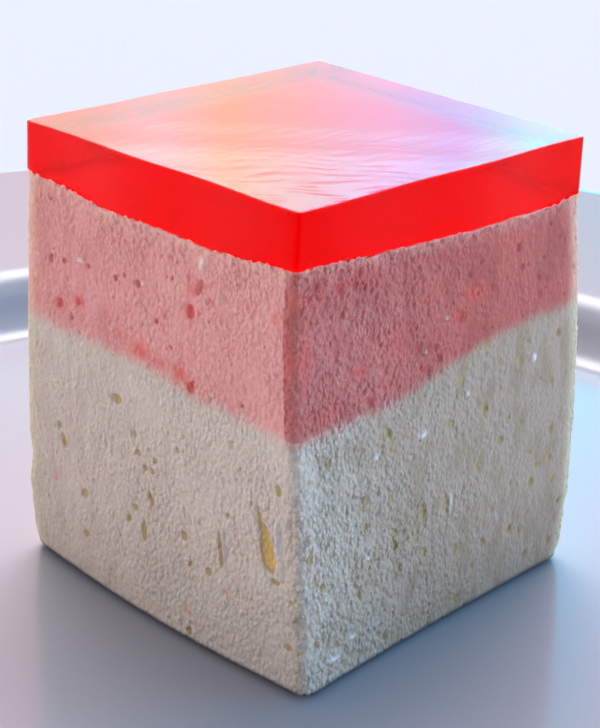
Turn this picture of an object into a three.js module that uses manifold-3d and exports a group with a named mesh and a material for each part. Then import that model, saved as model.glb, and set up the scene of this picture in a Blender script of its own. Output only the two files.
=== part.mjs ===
// A cut block of three-layer jelly dessert standing in the well of a round glazed plate.
// Millimetres, +Z up. The origin is the middle of the plate's foot, on the table.
import * as THREE from 'three';
import { mergeVertices } from 'three/addons/utils/BufferGeometryUtils.js';
import Module from 'manifold-3d';

const wasm = await Module();
wasm.setup();

// The plate, measured on its section.
const PLATE_RADIUS = 117;
const PLATE_HEIGHT = 19;
const PLATE_WALL = 4;
const FLOOR_TOP = 6.5;
const FLOOR_RADIUS = 71;
const SHOULDER_RADIUS = 80;
const SHOULDER_RISE = 6;
const FOOT_RADIUS = 65;
const FOOT_WIDTH = 3.6;
const FOOT_RECESS = 2.4;
const PLATE_SEGMENTS = 72;
const CURVE_STEPS = 3;

// The block: a hand-cut square that stands a little off the plate's middle.
const BLOCK_SIDE = 42;
const BLOCK_HEIGHT = 50;
const BLOCK_X = 3.5;
const BLOCK_Y = -3.5;
const MOUSSE_SEAM = 43.5;
const CREAM_SEAM = 28;
const SEAM_GAP = 0.3;

// The four upright edges, in order round the block. Each sits near its corner of the square
// and strays from it with height: [height, to the right, to the back] as seen from the front
// edge, which is the one nearest the viewer.
const UPRIGHT_EDGES = [
  {
    corner: [-1, -1],
    stray: [
      [0, 1.1, -1.2], [5, 0.8, -0.8], [13, 0.5, -0.5], [20, 0.0, -0.2],
      [28, -0.6, 0.0], [38, -0.9, 0.3], [50, -0.5, 0.7],
    ],
  },
  {
    corner: [1, -1],
    stray: [
      [0, -0.7, 0.3], [2.5, 0.0, 0.7], [9, 0.4, 0.6], [20, 0.3, 0.4],
      [28, -0.1, 0.1], [36, -0.6, -0.2], [43, -1.3, -0.5], [50, -1.3, -0.7],
    ],
  },
  {
    corner: [1, 1],
    stray: [[0, 0.0, 0.0], [18, -0.3, 0.2], [34, 0.5, 0.1], [50, 0.9, 0.3]],
  },
  {
    corner: [-1, 1],
    stray: [
      [0, 0.2, 0.2], [3, -0.3, -0.1], [9, -0.7, -0.3], [11.7, -0.3, -0.2],
      [15, -0.6, -0.2], [28, -0.4, -0.1], [43, 0.1, 0.0], [50, 0.3, 0.0],
    ],
  },
];
const FACES = { right: 0, rightBack: 1, leftBack: 2, left: 3 };
const TO_RIGHT = new THREE.Vector2(1, -1).normalize();
const TO_BACK = new THREE.Vector2(1, 1).normalize();

// The soft foot of each face swells out, or draws in, between its corners and fades upwards.
const FOOT_SWELL = [-0.3, 0.3, 0.3, 1.1];
const FOOT_FADE = 7;

// The outline of a layer: points on each rounded corner, then points along the face.
const CORNER_POINTS = 3;
const FACE_POINTS = 10;
const SIDE_POINTS = CORNER_POINTS + FACE_POINTS;
const OUTLINE_POINTS = 4 * SIDE_POINTS;

// The places of the cavities that show, named by face: along from the front edge (or, on the
// back faces, from the face's first edge), up from the plate, width, height, depth, lean.
const CREAM_TEARS = [
  ['left', 3.55, 15.0, 2.4, 5.8, 1.1, -0.14],
  ['left', 4.5, 17.9, 0.8, 3.6, 0.7, -0.16],
  ['left', 2.6, 11.8, 1.6, 0.9, 0.5, 0],
  ['left', 10.7, 12.3, 1.0, 4.6, 0.6, -0.1],
  ['left', 9.2, 16.3, 1.0, 1.2, 0.5, 0],
  ['left', 12.5, 9.0, 1.2, 1.1, 0.6, 0],
  ['left', 16.5, 11.5, 1.4, 1.3, 0.6, 0.5],
  ['left', 16.7, 21.0, 0.8, 0.9, 0.5, 0],
  ['left', 21.5, 13.9, 0.9, 2.3, 0.6, -0.42],
  ['left', 22.5, 10.0, 1.0, 3.0, 0.6, -0.15],
  ['left', 24.1, 12.0, 1.1, 1.0, 0.6, 0],
  ['left', 20.8, 18.5, 1.0, 1.0, 0.5, 0],
  ['left', 23.3, 18.5, 1.1, 1.0, 0.6, 0],
  ['left', 21.6, 17.1, 0.9, 0.9, 0.5, 0],
  ['left', 26.9, 23.4, 2.1, 1.3, 0.7, 0],
  ['left', 36.4, 15.6, 2.1, 1.1, 0.6, 1.3],
  ['left', 33.0, 10.4, 1.5, 1.2, 0.6, 0],
  ['left', 32.5, 5.8, 1.4, 1.1, 0.6, 0],
  ['right', 12.6, 12.4, 2.3, 1.0, 0.7, 1.15],
  ['right', 17.3, 9.8, 1.6, 0.9, 0.6, 1.1],
  ['right', 17.0, 14.4, 1.0, 2.9, 0.6, -0.1],
  ['right', 7.9, 18.4, 1.2, 3.2, 0.4, 0.7],
  ['right', 12.2, 23.2, 2.6, 1.4, 0.4, 1.3],
  ['right', 26.9, 23.3, 1.1, 1.5, 0.6, 0.2],
  ['right', 38.5, 14.0, 1.1, 1.2, 0.6, 0],
  ['right', 3.2, 24.1, 1.0, 1.2, 0.5, 0],
  ['right', 3.8, 4.6, 1.1, 1.1, 0.5, 0],
  ['right', 20.5, 14.6, 0.8, 3.2, 0.5, -0.05],
];
const MOUSSE_TEARS = [
  ['left', 14.3, 36.5, 1.5, 1.7, 0.8, 0],
  ['left', 12.9, 39.3, 1.2, 2.4, 0.5, 0.45],
  ['left', 22.9, 37.1, 1.1, 1.0, 0.6, 0],
  ['left', 36.4, 31.5, 1.3, 1.2, 0.6, 0],
  ['left', 33.2, 32.5, 1.0, 1.0, 0.5, 0],
  ['left', 38.2, 36.0, 1.0, 1.2, 0.5, 0],
  ['left', 35.8, 36.3, 0.9, 0.9, 0.5, 0],
  ['left', 31.5, 36.8, 1.1, 0.8, 0.5, 0.3],
  ['left', 19.8, 34.0, 0.8, 0.8, 0.5, 0],
  ['right', 22.9, 34.4, 1.3, 1.4, 0.7, 0.3],
  ['right', 16.3, 32.6, 1.0, 1.0, 0.5, 0],
  ['right', 19.1, 32.2, 0.9, 1.1, 0.5, 0],
  ['right', 35.8, 34.1, 1.0, 1.3, 0.6, 0],
];

// Small bubbles that the knife opened between the named ones, on every face.
const CREAM_BUBBLES = 9;
const MOUSSE_BUBBLES = 5;
const BUBBLE_SPACING = 3.2;
const BUBBLE_EDGE = 2.6;
const BUBBLE_SEED = 20;
const LARGE_CAVITY = 1.8;
// A cavity's middle lies just inside the cut face, which its layer's rounded corners push out.
const CAVITY_OFFSET = 0.2;

function between(low, high, part) {
  return low + (high - low) * part;
}

// Where an upright edge stands at a height, from its short list of strays.
function edgeAt(edge, height) {
  const rows = edge.stray;
  let upper = 1;
  while (upper < rows.length - 1 && rows[upper][0] < height) {
    upper += 1;
  }
  const [lowHeight, lowRight, lowBack] = rows[upper - 1];
  const [highHeight, highRight, highBack] = rows[upper];
  const part = (height - lowHeight) / (highHeight - lowHeight);
  const place = new THREE.Vector2(...edge.corner).multiplyScalar(BLOCK_SIDE / 2);
  place.addScaledVector(TO_RIGHT, between(lowRight, highRight, part));
  place.addScaledVector(TO_BACK, between(lowBack, highBack, part));
  return place;
}

// The cut faces aren't quite flat: a slow wave along and up them, and the swell at the foot.
function faceWave(face, along, height) {
  const wave = 0.16 * Math.sin(along * 0.31 + face * 1.9) * Math.sin(height * 0.17 + face);
  const swell = FOOT_SWELL[face] * Math.sin((Math.PI * along) / BLOCK_SIDE);
  return wave + swell * Math.exp(-((height / FOOT_FADE) ** 2));
}

// A point of the outline at a height, pulled in by an inset, with rounded corners. The corners
// start a quarter of their radius further out, so that the rounding passes through the edge.
function outlinePoint(index, height, inset, cornerRadius) {
  const face = Math.floor(index / SIDE_POINTS) % 4;
  const step = index % SIDE_POINTS;
  const [before, here, next] = [face + 3, face, face + 1].map((k) => {
    const edge = UPRIGHT_EDGES[k % 4];
    const place = edgeAt(edge, height);
    place.x -= edge.corner[0] * (inset - cornerRadius / 4);
    place.y -= edge.corner[1] * (inset - cornerRadius / 4);
    return place;
  });
  const onwards = next.clone().sub(here);
  if (step < CORNER_POINTS) {
    const part = step / (CORNER_POINTS - 1);
    const back = before.clone().sub(here).setLength(cornerRadius);
    const forth = onwards.setLength(cornerRadius);
    return here.clone().addScaledVector(back, (1 - part) ** 2).addScaledVector(forth, part ** 2);
  }
  const part = (step - CORNER_POINTS + 1) / (FACE_POINTS + 1);
  const length = onwards.length();
  const outward = new THREE.Vector2(onwards.y, -onwards.x).normalize();
  const along = between(cornerRadius, length - cornerRadius, part);
  const point = here.clone().addScaledVector(onwards, along / length);
  return point.addScaledVector(outward, faceWave(face, along, height));
}

// The seam under the red jelly: it lifts towards the left edge and dips towards the right one.
function mousseSeam(x, y) {
  const across = (x - y) / BLOCK_SIDE;
  const lift = across < 0 ? 1.1 * Math.abs(across) ** 5 : -0.5 * across ** 2;
  return MOUSSE_SEAM + lift + 0.1 * Math.sin(x * 0.5) * Math.cos(y * 0.4);
}

// The seam over the cream, lowest at the front edge and highest towards the right.
function creamSeam(x, y) {
  const right = x / BLOCK_SIDE + 0.5;
  const left = y / BLOCK_SIDE + 0.5;
  const arch = 0.5 * Math.sin(Math.PI * left) * (1 - right)
    - 0.6 * Math.sin(2 * Math.PI * right) * (1 - left);
  return CREAM_SEAM - 0.7 + 4.8 * right * (1 - 0.4 * left) + 1.6 * left + arch;
}

function topSkin(x, y) {
  return BLOCK_HEIGHT - 0.15 + 0.08 * Math.sin(x * 0.45 + 1) * Math.cos(y * 0.38);
}

const LAYERS = {
  red_jelly: {
    low: (x, y) => mousseSeam(x, y) + SEAM_GAP / 2,
    high: topSkin,
    rows: [0, 0.07, 0.5, 0.93, 1],
    insets: [0.25, 0, 0, 0, 0.3],
    cornerRadius: 0.5,
    lowRings: [0.66],
    highRings: [0.97, 0.72, 0.45],
  },
  pink_mousse: {
    low: (x, y) => creamSeam(x, y) + SEAM_GAP / 2,
    high: (x, y) => mousseSeam(x, y) - SEAM_GAP / 2,
    rows: [0, 0.17, 0.33, 0.5, 0.67, 0.83, 1],
    insets: [0.05, 0.06, 0.07, 0.08, 0.09, 0.1, 0.1],
    cornerRadius: 1.2,
    lowRings: [0.66],
    highRings: [0.66],
  },
  white_mousse: {
    low: () => 0,
    high: (x, y) => creamSeam(x, y) - SEAM_GAP / 2,
    rows: [0, 0.02, 0.12, 0.22, 0.33, 0.43, 0.53, 0.65, 0.77, 0.89, 1],
    insets: [0.8, 0, 0, 0, 0, 0, 0, 0.01, 0.02, 0.03, 0.05],
    cornerRadius: 1.2,
    lowRings: [0.8],
    highRings: [0.66],
  },
};

// The closed skin of one layer: its faces row by row, then rings in to the middle of each cap.
function layerGeometry(layer) {
  const positions = [];
  const indices = [];
  const middle = (layer.low(0, 0) + layer.high(0, 0)) / 2;

  function addRing(point) {
    for (let i = 0; i < OUTLINE_POINTS; i += 1) {
      positions.push(...point(i));
    }
    return positions.length / 3 - OUTLINE_POINTS;
  }

  function joinRings(inner, outer) {
    for (let i = 0; i < OUTLINE_POINTS; i += 1) {
      const j = (i + 1) % OUTLINE_POINTS;
      indices.push(outer + i, outer + j, inner + j);
      indices.push(outer + i, inner + j, inner + i);
    }
  }

  const edges = layer.rows.map((part, row) => addRing((i) => {
    const rough = outlinePoint(i, middle, 0, layer.cornerRadius);
    const height = between(layer.low(rough.x, rough.y), layer.high(rough.x, rough.y), part);
    const place = outlinePoint(i, height, layer.insets[row], layer.cornerRadius);
    return [place.x, place.y, height];
  }));
  for (let row = 1; row < edges.length; row += 1) {
    joinRings(edges[row], edges[row - 1]);
  }

  function addCap(edge, rings, surface, turn) {
    let last = edge;
    for (const scale of rings) {
      const ring = addRing((i) => {
        const x = positions[3 * (edge + i)] * scale;
        const y = positions[3 * (edge + i) + 1] * scale;
        return [x, y, surface(x, y)];
      });
      joinRings(...(turn ? [ring, last] : [last, ring]));
      last = ring;
    }
    const centre = positions.length / 3;
    positions.push(0, 0, surface(0, 0));
    for (let i = 0; i < OUTLINE_POINTS; i += 1) {
      const j = (i + 1) % OUTLINE_POINTS;
      indices.push(...(turn ? [last + i, last + j, centre] : [last + j, last + i, centre]));
    }
  }

  addCap(edges.at(-1), layer.highRings, layer.high, true);
  addCap(edges[0], layer.lowRings, layer.low, false);
  const geometry = new THREE.BufferGeometry();
  geometry.setAttribute('position', new THREE.Float32BufferAttribute(positions, 3));
  geometry.setIndex(indices);
  return geometry;
}

function toSolid(geometry) {
  geometry.deleteAttribute('normal');
  geometry.deleteAttribute('uv');
  const merged = mergeVertices(geometry);
  return new wasm.Manifold(new wasm.Mesh({
    numProp: 3,
    vertProperties: new Float32Array(merged.attributes.position.array),
    triVerts: new Uint32Array(merged.index.array),
  }));
}

function toGeometry(solid) {
  const mesh = solid.getMesh();
  const geometry = new THREE.BufferGeometry();
  geometry.setAttribute('position', new THREE.BufferAttribute(mesh.vertProperties, 3));
  geometry.setIndex(new THREE.BufferAttribute(mesh.triVerts, 1));
  return geometry;
}

// The opened cavity of a bubble or a tear: a faceted egg whose middle lies on the cut face.
function cavity([faceName, along, up, width, height, depth, lean]) {
  const face = FACES[faceName];
  const fromFront = face === FACES.left ? BLOCK_SIDE - along : along;
  const start = edgeAt(UPRIGHT_EDGES[face], up);
  const end = edgeAt(UPRIGHT_EDGES[(face + 1) % 4], up);
  const place = start.clone().lerp(end, fromFront / BLOCK_SIDE);
  const outward = new THREE.Vector2(end.y - start.y, start.x - end.x).normalize();
  place.addScaledVector(outward, faceWave(face, fromFront, up) + CAVITY_OFFSET);
  const geometry = new THREE.IcosahedronGeometry(1, Math.max(width, height) > LARGE_CAVITY ? 1 : 0);
  geometry.rotateY(along);
  geometry.scale(width / 2, depth, height / 2);
  geometry.rotateY(lean);
  geometry.rotateZ(Math.atan2(end.y - start.y, end.x - start.x));
  geometry.translate(place.x, place.y, up);
  return toSolid(geometry);
}

function seededRandom(seed) {
  let state = seed;
  return () => {
    state = (state * 1664525 + 1013904223) % 4294967296;
    return state / 4294967296;
  };
}

// Extra bubbles on all four faces, kept apart from each other and from the layer's edges.
function scatterBubbles(layer, named, perFace, random) {
  const bubbles = [];
  for (const [name, face] of Object.entries(FACES)) {
    const taken = named.filter((tear) => tear[0] === name);
    let tries = 0;
    let placed = 0;
    while (placed < perFace && tries < 400) {
      tries += 1;
      const along = between(BUBBLE_EDGE, BLOCK_SIDE - BUBBLE_EDGE, random());
      const start = edgeAt(UPRIGHT_EDGES[face], CREAM_SEAM);
      const end = edgeAt(UPRIGHT_EDGES[(face + 1) % 4], CREAM_SEAM);
      const place = start.lerp(end, (face === FACES.left ? BLOCK_SIDE - along : along) / BLOCK_SIDE);
      const low = layer.low(place.x, place.y) + BUBBLE_EDGE / 2;
      const high = layer.high(place.x, place.y) - BUBBLE_EDGE / 2;
      const up = between(low, high, random());
      const size = between(0.8, 1.5, random() ** 2);
      const stretch = between(0.9, 1.6, random());
      const free = taken.every(([, otherAlong, otherUp, , tall]) => (
        Math.hypot(otherAlong - along, Math.max(0, Math.abs(otherUp - up) - tall / 2))
          > BUBBLE_SPACING / 2 + size / 2
      ));
      if (free) {
        const bubble = [name, along, up, size, size * stretch, size * 0.55, 0];
        taken.push(bubble);
        bubbles.push(bubble);
        placed += 1;
      }
    }
  }
  return bubbles;
}

function porousGeometry(layer, tears, perFace, random) {
  let solid = toSolid(layerGeometry(layer));
  for (const tear of [...tears, ...scatterBubbles(layer, tears, perFace, random)]) {
    solid = solid.subtract(cavity(tear));
  }
  return toGeometry(solid);
}

// The plate: foot ring, flat well, shoulder and a gently rising rim, turned in one piece.
function plateGeometry() {
  const footInner = FOOT_RADIUS - FOOT_WIDTH / 2;
  const footOuter = FOOT_RADIUS + FOOT_WIDTH / 2;
  const shoulderTop = FLOOR_TOP + SHOULDER_RISE;
  const rimStart = SHOULDER_RADIUS + 4;
  const section = new THREE.Path();
  section.moveTo(0, FOOT_RECESS);
  section.lineTo(footInner - 3, FOOT_RECESS);
  section.quadraticCurveTo(footInner - 0.6, FOOT_RECESS, footInner, 0);
  section.lineTo(footOuter, 0);
  section.quadraticCurveTo(footOuter + 0.4, FOOT_RECESS, FLOOR_RADIUS + 1, FOOT_RECESS + 0.4);
  section.quadraticCurveTo(
    SHOULDER_RADIUS - 1.5, FOOT_RECESS + 1, SHOULDER_RADIUS + 2, shoulderTop - PLATE_WALL,
  );
  section.lineTo(PLATE_RADIUS - 4, PLATE_HEIGHT - PLATE_WALL);
  section.quadraticCurveTo(
    PLATE_RADIUS, PLATE_HEIGHT - PLATE_WALL + 0.6, PLATE_RADIUS, PLATE_HEIGHT - 1.6,
  );
  section.quadraticCurveTo(PLATE_RADIUS - 0.4, PLATE_HEIGHT, PLATE_RADIUS - 3, PLATE_HEIGHT);
  section.lineTo(rimStart, shoulderTop + 0.9);
  section.quadraticCurveTo(
    SHOULDER_RADIUS + 1, shoulderTop + 0.4, SHOULDER_RADIUS - 1.5, shoulderTop - 1.7,
  );
  section.quadraticCurveTo(SHOULDER_RADIUS - 5, FLOOR_TOP, FLOOR_RADIUS, FLOOR_TOP);
  section.lineTo(0, FLOOR_TOP);
  const geometry = new THREE.LatheGeometry(section.getPoints(CURVE_STEPS), PLATE_SEGMENTS);
  return geometry.rotateX(Math.PI / 2);
}

function addPiece(parent, name, geometry, color, roughness) {
  const material = new THREE.MeshStandardMaterial({ color, roughness, metalness: 0 });
  const mesh = new THREE.Mesh(geometry, material);
  mesh.name = name;
  parent.add(mesh);
}

const random = seededRandom(BUBBLE_SEED);
const cream = porousGeometry(LAYERS.white_mousse, CREAM_TEARS, CREAM_BUBBLES, random);
const mousse = porousGeometry(LAYERS.pink_mousse, MOUSSE_TEARS, MOUSSE_BUBBLES, random);

const group = new THREE.Group();
addPiece(group, 'plate', plateGeometry(), 0xe8e4e8, 0.12);
const block = new THREE.Group();
block.position.set(BLOCK_X, BLOCK_Y, FLOOR_TOP);
group.add(block);
addPiece(block, 'white_mousse', cream, 0xcfc4b4, 0.75);
addPiece(block, 'pink_mousse', mousse, 0xc98b8a, 0.7);
addPiece(block, 'red_jelly', layerGeometry(LAYERS.red_jelly), 0xc20606, 0.08);

export default group;
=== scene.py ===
"""A cut block of three-layer jelly dessert on its glazed plate.

The layers follow in the order in which they are poured: plain cream mousse, pink mousse, red jelly.
Shapes are worked out in millimetres, and turned into metres as each mesh is made.
"""
import math

import bpy
import numpy as np
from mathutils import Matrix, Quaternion, Vector


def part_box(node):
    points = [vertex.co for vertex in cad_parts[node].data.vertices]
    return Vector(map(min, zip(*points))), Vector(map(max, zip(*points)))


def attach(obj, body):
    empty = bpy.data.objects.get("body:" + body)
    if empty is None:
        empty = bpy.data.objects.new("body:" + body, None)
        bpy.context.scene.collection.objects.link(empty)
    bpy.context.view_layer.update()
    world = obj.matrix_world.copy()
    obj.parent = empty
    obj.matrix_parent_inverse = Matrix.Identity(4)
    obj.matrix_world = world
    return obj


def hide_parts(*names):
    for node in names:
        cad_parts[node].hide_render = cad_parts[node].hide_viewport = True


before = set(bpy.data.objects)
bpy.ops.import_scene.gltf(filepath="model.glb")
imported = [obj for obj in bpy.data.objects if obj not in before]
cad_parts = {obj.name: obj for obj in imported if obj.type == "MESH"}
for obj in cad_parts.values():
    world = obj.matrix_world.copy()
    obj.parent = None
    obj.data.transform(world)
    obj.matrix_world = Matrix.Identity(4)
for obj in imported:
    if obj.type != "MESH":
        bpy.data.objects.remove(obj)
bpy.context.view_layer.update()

# ---------------------------------------------------------------------------------------------
# The plate is white porcelain, turned in one piece with a foot ring, a flat well and a rising
# rim. It is dipped in clear glaze, and only the ring that it was fired on stays bare and dull.
# ---------------------------------------------------------------------------------------------
MM = 0.001
plate_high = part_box("plate")[1]
plate_radius = plate_high.x / MM
plate_height = plate_high.z / MM
well_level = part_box("white_mousse")[0].z / MM
plate_wall = 4
well_radius = 71
shoulder_radius = 80
shoulder_level = well_level + 6
foot_inner = 63.2
foot_outer = 66.8
foot_recess = 2.4
plate_segments = 256
bend_steps = 9
middle_radius = 1.5
porcelain_white = (0.39, 0.39, 0.42, 1)
porcelain_cloud = (0.41, 0.41, 0.44, 1)
bare_clay = (0.70, 0.67, 0.62, 1)
clay_speck = (0.80, 0.77, 0.72, 1)


def straight(start, end):
    """Points along a straight stretch, close together at its ends so that it shades flat."""
    part = np.array([0.02, 0.06, 0.5, 0.94, 0.98, 1])[:, None]
    return start + (end - start) * part


def bend(start, pull, end):
    """Points along a curved stretch that leaves start towards pull and arrives at end."""
    part = np.linspace(0, 1, bend_steps + 1)[1:, None]
    return (1 - part) ** 2 * start + 2 * part * (1 - part) * pull + part ** 2 * end


def follow(start, *stretches):
    """The points of an outline whose stretches each hold an end, or a pull and an end."""
    points = [np.array([start], float)]
    for stretch in stretches:
        corners = [np.array(corner, float) for corner in stretch]
        shape = straight if len(corners) == 1 else bend
        points.append(shape(points[-1][-1], *corners))
    return np.concatenate(points)


def tube_faces(rows, columns):
    """The faces of a closed tube, whose columns run round it and whose rows follow its length."""
    row, column = np.meshgrid(np.arange(rows - 1), np.arange(columns), indexing="ij")
    onward = (column + 1) % columns
    corners = (
        row * columns + column,
        row * columns + onward,
        (row + 1) * columns + onward,
        (row + 1) * columns + column,
    )
    return np.stack(corners, -1).reshape(-1, 4)


def closed_piece(name, rings, material, low_middle, high_middle):
    """A smooth piece through rings of points, closed by a fan of faces at each end."""
    rows, columns = rings.shape[:2]
    points = np.concatenate([rings.reshape(-1, 3), [low_middle], [high_middle]])
    low, high = len(points) - 2, len(points) - 1
    last = (rows - 1) * columns
    faces = tube_faces(rows, columns).tolist()
    for column in range(columns):
        onward = (column + 1) % columns
        faces.append((low, onward, column))
        faces.append((high, last + column, last + onward))
    mesh = bpy.data.meshes.new(name)
    mesh.from_pydata(points * MM, [], faces)
    mesh.shade_smooth()
    mesh.set_sharp_from_angle(angle=math.radians(55))
    mesh.materials.append(material)
    piece = bpy.data.objects.new(name, mesh)
    bpy.context.scene.collection.objects.link(piece)
    return piece


def node(tree, kind, inputs=None, **settings):
    """A node of a tree. Its inputs are values, or the sockets that feed them."""
    made = tree.nodes.new(kind)
    for setting, value in settings.items():
        setattr(made, setting, value)
    for key, value in (inputs or {}).items():
        if isinstance(key, int):
            socket = made.inputs[key]
        else:
            socket = next(s for s in made.inputs if s.enabled and s.name == key)
        if isinstance(value, bpy.types.NodeSocket):
            tree.links.new(value, socket)
        else:
            socket.default_value = value
    return made


def out(made, name=None):
    """The output of a node that carries its result."""
    return next(s for s in made.outputs if s.enabled and name in (None, s.name))


def mixed(tree, factor, first, second):
    """The first colour where the factor is 0, and the second where it is 1."""
    inputs = {"Factor": factor, "A": first, "B": second}
    return out(node(tree, "ShaderNodeMix", inputs, data_type="RGBA"), "Result")


def new_material(name):
    """A material with only its Principled shader left, and the tree to add nodes to."""
    material = bpy.data.materials.new(name)
    material.use_nodes = True
    return material, material.node_tree, material.node_tree.nodes["Principled BSDF"]


porcelain, tree, shader = new_material("glazed_porcelain")
place = out(node(tree, "ShaderNodeTexCoord"), "Object")
height = out(node(tree, "ShaderNodeSeparateXYZ", {0: place}), "Z")
glazed = out(node(tree, "ShaderNodeMapRange", {
    "Value": height, "From Min": 0.25 * MM, "From Max": 0.55 * MM,
}))
cloud = out(node(tree, "ShaderNodeTexNoise", {"Vector": place, "Scale": 22, "Detail": 3}), "Fac")
speck = out(node(tree, "ShaderNodeTexNoise", {"Vector": place, "Scale": 900, "Detail": 2}), "Fac")
glaze_tone = mixed(tree, cloud, porcelain_white, porcelain_cloud)
clay_tone = mixed(tree, speck, bare_clay, clay_speck)
body_tone = mixed(tree, glazed, clay_tone, glaze_tone)
polish = out(node(tree, "ShaderNodeMapRange", {
    "Value": glazed, "To Min": 0.75, "To Max": 0.17,
}))
swell = out(node(tree, "ShaderNodeTexNoise", {"Vector": place, "Scale": 45, "Detail": 1}), "Fac")
relief = out(node(tree, "ShaderNodeBump", {
    "Height": swell, "Strength": 0.35, "Distance": 0.12 * MM,
}))
tree.links.new(body_tone, shader.inputs["Base Color"])
tree.links.new(polish, shader.inputs["Roughness"])
tree.links.new(relief, shader.inputs["Normal"])
shader.inputs["Specular IOR Level"].default_value = 0.4

section = follow(
    (middle_radius, foot_recess),
    [(foot_inner - 3, foot_recess)],
    [(foot_inner - 0.6, foot_recess), (foot_inner, 0)],
    [(foot_outer, 0)],
    [(foot_outer + 0.4, foot_recess), (well_radius + 1, foot_recess + 0.4)],
    [(shoulder_radius - 1.5, foot_recess + 1), (shoulder_radius + 2, shoulder_level - plate_wall)],
    [(plate_radius - 4, plate_height - plate_wall)],
    [(plate_radius, plate_height - plate_wall + 0.6), (plate_radius, plate_height - 1.6)],
    [(plate_radius - 0.4, plate_height), (plate_radius - 3, plate_height)],
    [(shoulder_radius + 4, shoulder_level + 0.9)],
    [(shoulder_radius + 1, shoulder_level + 0.4), (shoulder_radius - 1.5, shoulder_level - 1.7)],
    [(shoulder_radius - 5, well_level), (well_radius, well_level)],
    [(middle_radius, well_level)],
)
turn = np.linspace(0, 2 * math.pi, plate_segments, endpoint=False)
plate_rings = np.stack([
    section[:, :1] * np.cos(turn),
    section[:, :1] * np.sin(turn),
    np.repeat(section[:, 1:], plate_segments, 1),
], -1)
plate = closed_piece("plate_glazed", plate_rings, porcelain, (0, 0, foot_recess), (0, 0, well_level))
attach(plate, "root")
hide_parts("plate")

# ---------------------------------------------------------------------------------------------
# The two mousses are whipped cream and jelly, set one on the other and cut with one knife. Their
# common cut skin is a grid of points round the block, with the bubbles that the knife opened, the
# tears that it pulled, and the fine grain of the foam between them.
# ---------------------------------------------------------------------------------------------
block_x = 3.5
block_y = -3.5
block_side = 42
block_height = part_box("red_jelly")[1].z / MM - well_level
mousse_seam_level = 43.5
mousse_seam_rise = 0.85
cream_seam_level = 28
mousse_corner = 1.2
crumb_highlight_reach = 1.1
foot_shadow_height = 0.74

# Each upright edge strays from its corner of the square: height, to the right, to the back.
upright_edges = {
    (-1, -1): [
        [0, 1.1, -1.2], [5, 0.8, -0.8], [13, 0.5, -0.5], [20, 0.0, -0.2],
        [28, -0.6, 0.0], [38, -0.9, 0.3], [50, -0.5, 0.7],
    ],
    (1, -1): [
        [0, -0.7, 0.3], [2.5, 0.0, 0.7], [9, 0.4, 0.6], [20, 0.3, 0.4],
        [28, -0.1, 0.1], [36, -0.6, -0.2], [43, -1.3, -0.5], [50, -1.3, -0.7],
    ],
    (1, 1): [[0, 0.0, 0.0], [18, -0.3, 0.2], [34, 0.5, 0.1], [50, 0.9, 0.3]],
    (-1, 1): [
        [0, 0.2, 0.2], [3, -0.3, -0.1], [9, -0.7, -0.3], [11.7, -0.3, -0.2],
        [15, -0.6, -0.2], [28, -0.4, -0.1], [43, 0.1, 0.0], [50, 0.3, 0.0],
    ],
}
edge_heights = np.linspace(0, 50, 201)
softening = np.hanning(11) / np.hanning(11).sum()
edge_places = []
for corner, rows in upright_edges.items():
    level, right, back = np.array(rows).T
    strays = []
    for stray in (right, back):
        rough_stray = np.pad(np.interp(edge_heights, level, stray), 5, mode="edge")
        strays.append(np.convolve(rough_stray, softening, "valid"))
    to_right, to_back = np.array(strays) / math.sqrt(2)
    square = np.array(corner) * block_side / 2
    edge_places.append((corner, square[0] + to_right + to_back, square[1] - to_right + to_back))

# The soft foot of each face swells out or draws in between its corners.
foot_swell = (-0.3, 0.3, 0.3, 1.1)
corner_steps = 7
face_steps = (205, 118, 118, 205)
RIGHT, LEFT = 0, 3


def edge_at(index, heights, spread):
    """Where an upright edge stands at some heights, moved outwards by a spread."""
    (side_x, side_y), x, y = edge_places[index % 4]
    place_x = np.interp(heights, edge_heights, x) + side_x * spread
    place_y = np.interp(heights, edge_heights, y) + side_y * spread
    return np.stack([place_x, place_y], -1)


def unit(vectors):
    return vectors / np.linalg.norm(vectors, axis=-1, keepdims=True)


def outline(heights, inset, corner_radius):
    """Points round the block, a column for each place on the outline and a row for each height.

    The corners start a quarter of their radius further out, so that rounding keeps the edge."""
    spread = corner_radius / 4 - inset
    parts = []
    first = 0
    for face, steps in enumerate(face_steps):
        rounded = slice(first, first + corner_steps)
        flat = slice(first + corner_steps, first + corner_steps + steps)
        first = flat.stop
        for columns in (rounded, flat):
            level = heights[:, columns]
            push = spread[:, columns]
            here = edge_at(face, level, push)
            onward = edge_at(face + 1, level, push) - here
            if columns is rounded:
                part = np.linspace(0, 1, corner_steps)[:, None]
                backward = unit(edge_at(face + 3, level, push) - here)
                reach = backward * (1 - part) ** 2 + unit(onward) * part ** 2
                parts.append(here + corner_radius * reach)
            else:
                part = (np.arange(steps) + 1) / (steps + 1)
                length = np.linalg.norm(onward, axis=-1)
                along = corner_radius + (length - 2 * corner_radius) * part
                wave = 0.16 * np.sin(along * 0.31 + face * 1.9) * np.sin(level * 0.17 + face)
                wave += foot_swell[face] * np.sin(math.pi * part) * np.exp(-(level / 7) ** 2)
                outward = unit(np.stack([onward[..., 1], -onward[..., 0]], -1))
                parts.append(here + unit(onward) * along[..., None] + outward * wave[..., None])
    return np.concatenate(parts, 1)


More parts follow.
